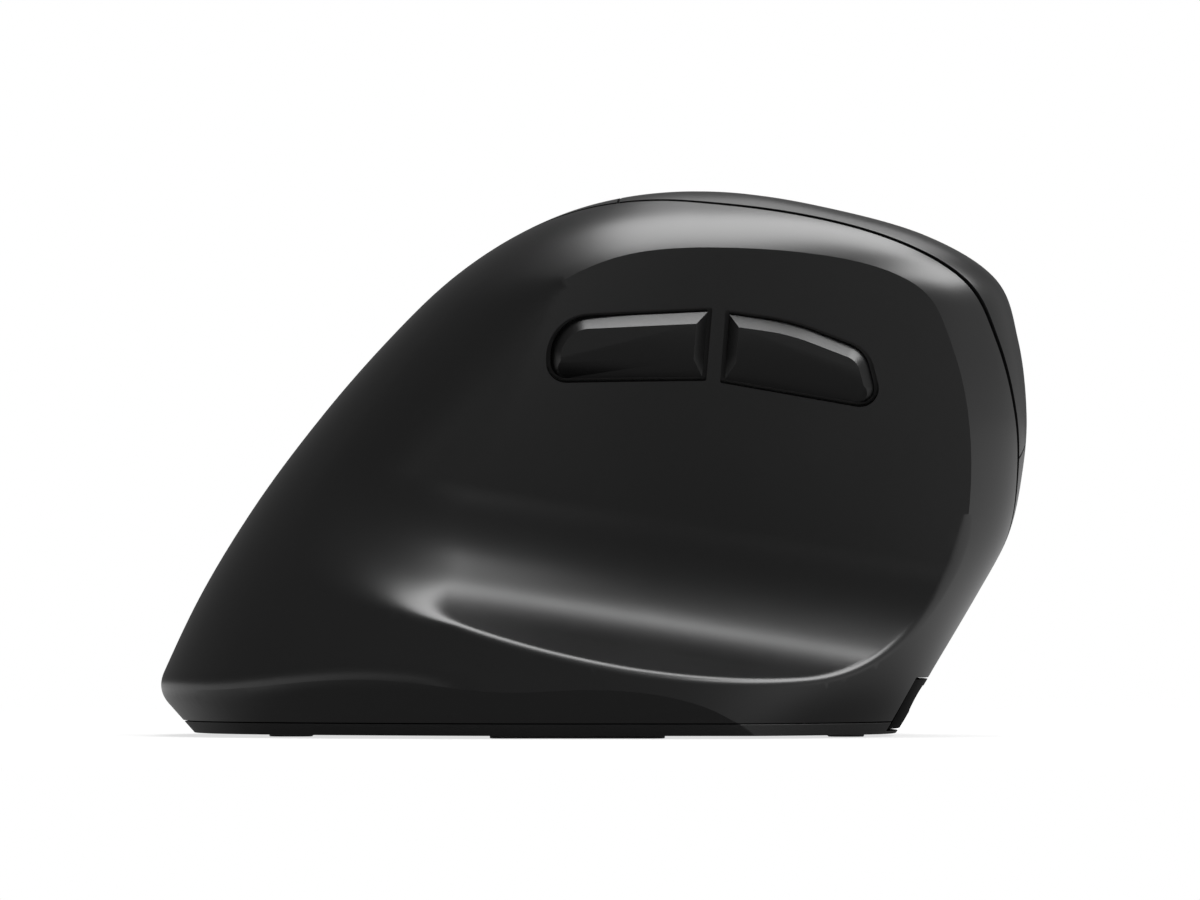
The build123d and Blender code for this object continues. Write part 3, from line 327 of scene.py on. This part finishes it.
def scoopLevel(p):
    # over 0 inside the thumb scoop, under 0 in the wall round it
    f = scoopForm
    tilt, lean, ledge = (math.radians(f[k]) for k in ("tilt", "wallLean", "ledge"))
    y, z = p[:, 1] - f["bendY"], p[:, 2] - (f["levelY"] - f["bendY"]) * math.tan(tilt)
    level = y * math.sin(tilt) + z * math.cos(tilt)
    back = z * math.sin(tilt) - y * math.cos(tilt)
    bendX = f["wallX"] + f["bend"]
    across = np.where(back > 0, bendX - np.hypot(bendX - p[:, 0], back), p[:, 0])
    wallNormal = np.array((math.cos(lean), -math.sin(lean)))
    ledgeNormal = np.array((math.sin(ledge), math.cos(ledge)))
    wall = (across - f["wallX"]) * wallNormal[0] + (level - f["wallLevel"]) * wallNormal[1]
    floor = (across - f["lipX"]) * ledgeNormal[0] + (level - f["lipLevel"]) * ledgeNormal[1]
    # centre of the fillet lies a radius off both faces
    r = f["fillet"]
    middle = np.linalg.solve(np.array((wallNormal, ledgeNormal)), np.array((
        f["wallX"] * wallNormal[0] + f["wallLevel"] * wallNormal[1] + r,
        f["lipX"] * ledgeNormal[0] + f["lipLevel"] * ledgeNormal[1] + r)))
    du, dv = across - middle[0], level - middle[1]
    # only the wedge between the two faces' feet belongs to the fillet
    aboveLedge = du * ledgeNormal[1] - dv * ledgeNormal[0] < 0
    beforeWall = -du * wallNormal[1] + dv * wallNormal[0] < 0
    inWedge = (wall < r) & (floor < r) & aboveLedge & beforeWall
    return np.where(inWedge, r - np.hypot(du, dv), np.minimum(wall, floor))


def slopeOf(level, p, step=0.02):
    # value and unit normal of a form's level at points
    grad = np.stack([(level(p + step * e) - level(p - step * e)) / (2 * step) for e in np.eye(3)], axis=1)
    size = np.linalg.norm(grad, axis=1) + 1e-12
    return level(p) / size, grad / size[:, None]


def ridgeWidth(p):
    # the ridge behind the scoop is wide and soft, the ledge's lip a little rounded, the top edge crisp
    f = softRidge
    ridge = (f["radius"] * easeIn((f["crispY"] - p[:, 1]) / (f["crispY"] - f["softY"]))
             * easeIn((p[:, 2] - f["crispZ"]) / (f["softZ"] - f["crispZ"])))
    lipRound = lip["radius"] * (1 - easeIn((p[:, 2] - lip["fullZ"]) / (lip["goneZ"] - lip["fullZ"])))
    return np.maximum(ridge, lipRound)


def nearForm(p):
    # distance to the body's surface, its normal there, and both for hull and scoop alone
    hull, hullNormal = slopeOf(hullLevel, p)
    scoop, scoopNormal = slopeOf(scoopLevel, p)
    width = np.maximum(ridgeWidth(p), 0.01)
    share = np.clip(0.5 + 0.5 * (hull - scoop) / width, 0, 1)
    normal = hullNormal * share[:, None] + scoopNormal * (1 - share[:, None])
    size = np.linalg.norm(normal, axis=1) + 1e-9
    gap = hull * share + scoop * (1 - share) + width * share * (1 - share)
    return gap / size, normal / size[:, None], hull, hullNormal, scoop, scoopNormal, width


# the shell and its buttons, fitted to the form; all lengths in mm

innerFace, bodyFace, scoopFace, footFace = range(4)     # what a face of the copies lies on
seam = {"startX": -15.2, "perY": 0.235, "perZ": 0.37, "half": 0.175, "opened": 0.4, "reach": 2.0,
        "slack": 0.03}
foot = {"height": 17.0, "rearOf": -14.0, "fade": 10.0, "reach": 2.6, "edges": (1.2, 0.7),
        "steep": (-0.85, -0.4), "least": 0.002}
fit = {
    "bodyNear": 0.6, "scoopNear": 0.2, "underScoop": 0.5, "facing": 0.8,    # which faces count as outer ones
    "sliverArea": 0.2, "sliverNear": 0.03, "edges": (20, 10, 5, 2.5, 1.6),
    "crispUnder": 0.5, "scoopCorner": 0.3, "peak": 0.7, "apex": 0.05,       # what keeps its place
    "outward": 1, "inward": 4,                                              # the furthest moves
}


def cutEdges(work, edges):
    bmesh.ops.subdivide_edges(work, edges=edges, cuts=1)
    bmesh.ops.triangulate(work, faces=[f for f in work.faces if len(f.verts) > 3])


def openTheSeam(p):
    # the shell's rim draws back from the seam along the ridge, which shows there as a dark line
    normal = np.array((1, -seam["perY"], -seam["perZ"]))
    size = np.linalg.norm(normal)
    away = (p @ normal - seam["startX"]) / size - seam["half"]
    share = np.where(away > -seam["slack"], np.clip(1 - away / seam["reach"], 0, 1), 0)
    return p + (seam["opened"] * share)[:, None] * normal / size


def lipEdges(work, kind, longest):
    # edges near the ledge's lip that are too long for its small rounding
    verts = [v for v in work.verts if v.co.z < lip["goneZ"] * mm and any(f[kind] for f in v.link_faces)]
    p = np.array([v.co for v in verts]) / mm
    apart = np.maximum(np.abs(slopeOf(hullLevel, p)[0]), np.abs(slopeOf(scoopLevel, p)[0]))
    chosen = {v.index for v, gap in zip(verts, apart) if gap < lip["reach"]}
    return [e for e in work.edges if e.calc_length() > longest * mm and {v.index for v in e.verts} <= chosen]


def footEdge(work, kind):
    # vertices of the edge between the body and the drawn-in foot, each with its edges and the foot's
    # normals there, and a tree of their places
    found = {}
    low, high = foot["steep"]
    for edge in work.edges:
        if len(edge.link_faces) != 2 or {f[kind] for f in edge.link_faces} != {innerFace, bodyFace}:
            continue
        under = edge.link_faces[0] if edge.link_faces[0][kind] != bodyFace else edge.link_faces[1]
        middle = (edge.verts[0].co + edge.verts[1].co) / 2 / mm
        if middle.z < foot["height"] and middle.y < foot["rearOf"] and low < under.normal.z < high:
            for vert in edge.verts:
                found.setdefault(vert, []).append((edge, under.normal.copy()))
    tree = kdtree.KDTree(len(found))
    for i, vert in enumerate(found):
        tree.insert(vert.co, i)
    tree.balance()
    return found, tree


def roundTheFoot(work, kind):
    # the edge over the foot is drawn in, most on the edge itself and less and less beside it
    reach = foot["reach"] * mm
    for limit in foot["edges"]:
        found, tree = footEdge(work, kind)
        if not found:
            return
        cutEdges(work, [e for e in work.edges if e.calc_length() > limit * mm
                        and tree.find((e.verts[0].co + e.verts[1].co) / 2)[2] < reach + e.calc_length() / 2])
    found, tree = footEdge(work, kind)
    verts = list(found)
    bodyNormals = nearForm(np.array([v.co for v in verts]) / mm)[3]
    moves = []
    for vert in work.verts:
        _, at, away = tree.find(vert.co)
        if away > reach:
            continue
        for side, _ in found[verts[at]]:
            spot, share = geometry.intersect_point_line(vert.co, side.verts[0].co, side.verts[1].co)
            if 0 < share < 1:
                away = min(away, (vert.co - spot).length)
        body = Vector(bodyNormals[at])
        under = sum((normal for _, normal in found[verts[at]]), Vector()).normalized()
        depth = reach * math.sin(body.angle(under) / 2) / 2 * (1 - away / reach) ** 2
        fade = float(easeIn((foot["rearOf"] - vert.co.y / mm) / foot["fade"]))
        moves.append((vert, -(body + under).normalized() * depth * fade))
    for vert, move in moves:
        vert.co += move
        if move.length > foot["least"] * mm:
            for face in vert.link_faces:
                face[kind] = footFace


def fitToForm(work, isThumbShell):
    # marks the outer faces, cuts them finer and moves them onto the smooth form
    kind = work.faces.layers.int.new("kind")
    faces = list(work.faces)
    centres = np.array([f.calc_center_median() for f in faces]) / mm
    normals = np.array([f.normal for f in faces])
    _, _, hull, hullNormal, scoop, scoopNormal, _ = nearForm(centres)
    onBody = ((np.abs(hull) < fit["bodyNear"]) & (scoop < fit["underScoop"])
              & ((normals * hullNormal).sum(1) > fit["facing"]))
    onScoop = ((np.abs(scoop) < fit["scoopNear"]) & (hull < fit["underScoop"])
               & ((normals * scoopNormal).sum(1) > fit["facing"])
               & ~(onBody & (np.abs(hull) < np.abs(scoop))))
    slivers = np.array([f.calc_area() for f in faces]) < fit["sliverArea"] * mm * mm
    onBody |= slivers & (np.abs(hull) < fit["sliverNear"]) & (scoop < fit["sliverNear"])
    for face, body, inScoop in zip(faces, onBody, onScoop):
        face[kind] = scoopFace if inScoop else bodyFace if body else innerFace
    for limit in fit["edges"]:
        cutEdges(work, [e for e in work.edges
                        if e.calc_length() > limit * mm and any(f[kind] for f in e.link_faces)])
    for limit in lip["edges"] if isThumbShell else ():
        work.verts.index_update()
        cutEdges(work, lipEdges(work, kind, limit))
    verts = [v for v in work.verts if any(f[kind] for f in v.link_faces)]
    p = np.array([v.co for v in verts]) / mm
    if isThumbShell:
        p = openTheSeam(p)
    gap, normal, hull, _, scoop, _, width = nearForm(p)
    crisp = width < fit["crispUnder"]
    corner = (np.abs(hull) < fit["bodyNear"]) & (np.abs(scoop) < fit["scoopCorner"])
    peak = p[:, 2] > form["top"] - fit["peak"]
    gap = np.where(crisp & corner | peak, 0, gap)
    p -= normal * np.clip(gap, -fit["outward"], fit["inward"])[:, None]
    for vert, place in zip(verts, p):
        vert.co = Vector(place) * mm
    roundTheFoot(work, kind)


def shadeByForm(mesh):
    # the outer faces take the form's own normals, so that reflections run clean
    kinds = np.zeros(len(mesh.polygons), int)
    mesh.attributes["kind"].data.foreach_get("value", kinds)
    sizes, corners = np.zeros(len(kinds), int), np.zeros(len(mesh.loops), int)
    mesh.polygons.foreach_get("loop_total", sizes)
    mesh.loops.foreach_get("vertex_index", corners)
    places = np.zeros(len(mesh.vertices) * 3)
    mesh.vertices.foreach_get("co", places)
    places = places.reshape(-1, 3) / mm
    _, normal, _, hullNormal, _, scoopNormal, width = nearForm(places)
    cornerKind = np.repeat(kinds, sizes)
    soft = width[corners] > fit["crispUnder"]
    chosen = np.where(cornerKind[:, None] == bodyFace, hullNormal[corners], scoopNormal[corners])
    chosen = np.where(soft[:, None], normal[corners], chosen)
    chosen[places[corners, 2] > form["top"] - fit["apex"]] = (0, 0, 1)
    chosen[(cornerKind == innerFace) | (cornerKind == footFace)] = 0     # 0 leaves the mesh's own normal
    mesh.normals_split_custom_set(chosen.tolist())
    mesh.attributes.remove(mesh.attributes["kind"])


# pieces from the CAD nodes

joining = {"doubles": 0.002, "degenerate": 0.001, "flatAngle": 0.5, "sharpAngle": 32.0}
bevel = {"segments": 3, "angle": 30.0, "width": {
    "back_button": 0.25, "forward_button": 0.25, "resolution_button": 0.2, "port_insert": 0.15,
    "base_plate": 0.15, "glide_feet": 0.15, "wheel_hub": 0.12, "wheel_tyre": 0.12,
    "charge_socket": 0.05, "power_slider": 0.12, "sensor_lens": 0.1,
}}
fittedNodes = ["thumb_shell", "palm_cover", "index_button", "middle_button"]


def mergedCopy(node):
    # the node's triangles joined into one skin, with flat faces made whole again except on fitted ones
    work = bmesh.new()
    work.from_mesh(frame["nodes"][node].data)
    bmesh.ops.remove_doubles(work, verts=work.verts, dist=joining["doubles"] * mm)
    bmesh.ops.dissolve_degenerate(work, edges=work.edges, dist=joining["degenerate"] * mm)
    if node not in fittedNodes:
        bmesh.ops.dissolve_limit(work, angle_limit=math.radians(joining["flatAngle"]), verts=work.verts,
                                 edges=work.edges, use_dissolve_boundaries=False)
    return work


def finishPiece(work, node, finish):
    for face in work.faces:
        face.smooth = True
    for edge in work.edges:
        if len(edge.link_faces) != 2 or edge.calc_face_angle(0) > math.radians(joining["sharpAngle"]):
            edge.smooth = False
    mesh = bpy.data.meshes.new(node + "_skin")
    work.to_mesh(mesh)
    work.free()
    mesh.materials.append(finishes[finish])
    piece = bpy.data.objects.new(node + "_skin", mesh)
    bpy.context.scene.collection.objects.link(piece)
    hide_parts(node)
    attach(piece, bodyOf[node])
    return piece


def addBevel(piece, width):
    mod = piece.modifiers.new("edges", "BEVEL")
    mod.width = width
    mod.segments = bevel["segments"]
    mod.limit_method = "ANGLE"
    mod.angle_limit = math.radians(bevel["angle"])
    mod.harden_normals = True


for finish, names in nodeFinish.items():
    for node in names:
        work = mergedCopy(node)
        if node in fittedNodes:
            fitToForm(work, node == "thumb_shell")
        piece = finishPiece(work, node, finish)
        if node in fittedNodes:
            shadeByForm(piece.data)
            print(node, len(piece.data.polygons), "faces")
        elif node in bevel["width"]:
            addBevel(piece, bevel["width"][node] * mm)
print("pieces made")


# floor, light and camera

# mirrored and mirroredEnds are the strengths of the floor's painted glow that reflections see
floorLook = {"size": 1.2, "seenWhite": 0.97, "thrownBack": 0.3, "shadowShare": 0.3, "shadowStart": 0.08,
             "shadowReach": 0.3, "mirrored": 0.14, "mirroredEnds": 0.7, "endStart": 0.045, "endReach": 0.085}
roomLook = {"dim": 0.14, "front": 0.4, "frontStart": 0.35, "frontFull": 0.9, "fill": 0.25}
# softboxes hang level over the object: middle, size and power
softboxHeight = 0.85
softboxes = {
    "overhead": ((-0.035, -0.07), (0.57, 0.3), 3.0),
    "overheadFront": ((-0.11, 0.24), (0.48, 0.32), 2.8),
    "frontTop": ((0.275, 0.76), (0.75, 0.7), 10.0),
    "behindTop": ((-0.68, 0.2), (0.65, 0.6), 1.6),
}
shot = {"lens": 600.0, "sensor": 36.0, "clip": (0.05, 30.0), "middle": (0.0011, 0.0395),
        "frameWidth": 0.1655, "objectX": 0.01}


def makeFloor():
    # pale floor: white to the camera but for the shadow, which fades out away from the object
    work = bmesh.new()
    bmesh.ops.create_grid(work, x_segments=1, y_segments=1, size=floorLook["size"])
    mesh = bpy.data.meshes.new("floor")
    work.to_mesh(mesh)
    work.free()
    floor = bpy.data.objects.new("floor", mesh)
    bpy.context.scene.collection.objects.link(floor)
    mat = bpy.data.materials.new("paleFloor")
    mat.use_nodes = True
    nodes, links = mat.node_tree.nodes, mat.node_tree.links
    nodes.clear()
    path = nodes.new("ShaderNodeLightPath")
    coords = nodes.new("ShaderNodeTexCoord")
    away = nodes.new("ShaderNodeVectorMath")
    away.operation = "LENGTH"
    links.new(coords.outputs["Object"], away.inputs[0])
    shadowless = mapRange(nodes, links, away.outputs["Value"], 1 - floorLook["shadowShare"], 1.0,
                          floorLook["shadowStart"], floorLook["shadowReach"], smooth=True)
    tone = mapRange(nodes, links, path.outputs["Is Camera Ray"],
                    floorLook["thrownBack"], floorLook["seenWhite"])
    diffuse = nodes.new("ShaderNodeBsdfDiffuse")
    links.new(tone.outputs["Result"], diffuse.inputs["Color"])
    # painted reflection: the floor glows to reflections, dim beside the object, lighter before and behind,
    # no shadow
    split = nodes.new("ShaderNodeSeparateXYZ")
    links.new(coords.outputs["Object"], split.inputs[0])
    along = mathOn(nodes, links, "ABSOLUTE", split.outputs["Y"])
    ends = mapRange(nodes, links, along, floorLook["mirrored"], floorLook["mirroredEnds"],
                    floorLook["endStart"], floorLook["endReach"], smooth=True)
    level = mapRange(nodes, links, path.outputs["Is Glossy Ray"], 1.0, 1.0)
    links.new(ends.outputs["Result"], level.inputs["To Max"])
    glow = nodes.new("ShaderNodeEmission")
    links.new(level.outputs["Result"], glow.inputs["Strength"])
    share = mathOn(nodes, links, "MULTIPLY", path.outputs["Is Camera Ray"], shadowless.outputs["Result"])
    either = mathOn(nodes, links, "ADD", share, path.outputs["Is Glossy Ray"])
    out = nodes.new("ShaderNodeOutputMaterial")
    links.new(mixShaders(nodes, links, either, diffuse.outputs[0], glow.outputs[0]), out.inputs["Surface"])
    mesh.materials.append(mat)


def makeWorld():
    # white backdrop for the camera, and for reflections a dim room with a lighter wall in front
    world = bpy.data.worlds.new("studio")
    bpy.context.scene.world = world
    world.use_nodes = True
    nodes, links = world.node_tree.nodes, world.node_tree.links
    nodes.clear()
    path = nodes.new("ShaderNodeLightPath")
    coords = nodes.new("ShaderNodeTexCoord")
    split = nodes.new("ShaderNodeSeparateXYZ")
    links.new(coords.outputs["Generated"], split.inputs[0])
    room = mapRange(nodes, links, split.outputs["Y"], roomLook["dim"], roomLook["front"],
                    roomLook["frontStart"], roomLook["frontFull"], smooth=True)
    seen, mirrored, fill = (nodes.new("ShaderNodeBackground") for _ in range(3))
    for backdrop in (seen, mirrored, fill):
        backdrop.inputs["Color"].default_value = (1, 1, 1, 1)
    links.new(room.outputs["Result"], mirrored.inputs["Strength"])
    fill.inputs["Strength"].default_value = roomLook["fill"]
    through = mathOn(nodes, links, "MAXIMUM",
                     path.outputs["Is Camera Ray"], path.outputs["Is Transmission Ray"])
    unseen = mixShaders(nodes, links, path.outputs["Is Glossy Ray"], fill.outputs[0], mirrored.outputs[0])
    out = nodes.new("ShaderNodeOutputWorld")
    links.new(mixShaders(nodes, links, through, unseen, seen.outputs[0]), out.inputs["Surface"])


def addSoftbox(name, middle, size, power):
    lamp = bpy.data.lights.new(name, "AREA")
    lamp.shape = "RECTANGLE"
    lamp.size, lamp.size_y = size
    lamp.energy = power
    softbox = bpy.data.objects.new(name, lamp)
    softbox.location = (*middle, softboxHeight)
    bpy.context.scene.collection.objects.link(softbox)


def addCamera():
    # level with the object's middle, square on to its thumb side
    lens = bpy.data.cameras.new("camera")
    lens.lens, lens.sensor_width = shot["lens"], shot["sensor"]
    lens.clip_start, lens.clip_end = shot["clip"]
    camera = bpy.data.objects.new("camera", lens)
    camera.location = (shot["objectX"] + shot["frameWidth"] * shot["lens"] / shot["sensor"], *shot["middle"])
    camera.rotation_euler = (math.radians(90), 0, math.radians(90))
    bpy.context.scene.collection.objects.link(camera)
    bpy.context.scene.camera = camera


makeFloor()
makeWorld()
for name, values in softboxes.items():
    addSoftbox(name, *values)
addCamera()
bpy.context.scene.view_settings.view_transform = "Standard"
print("stage ready")
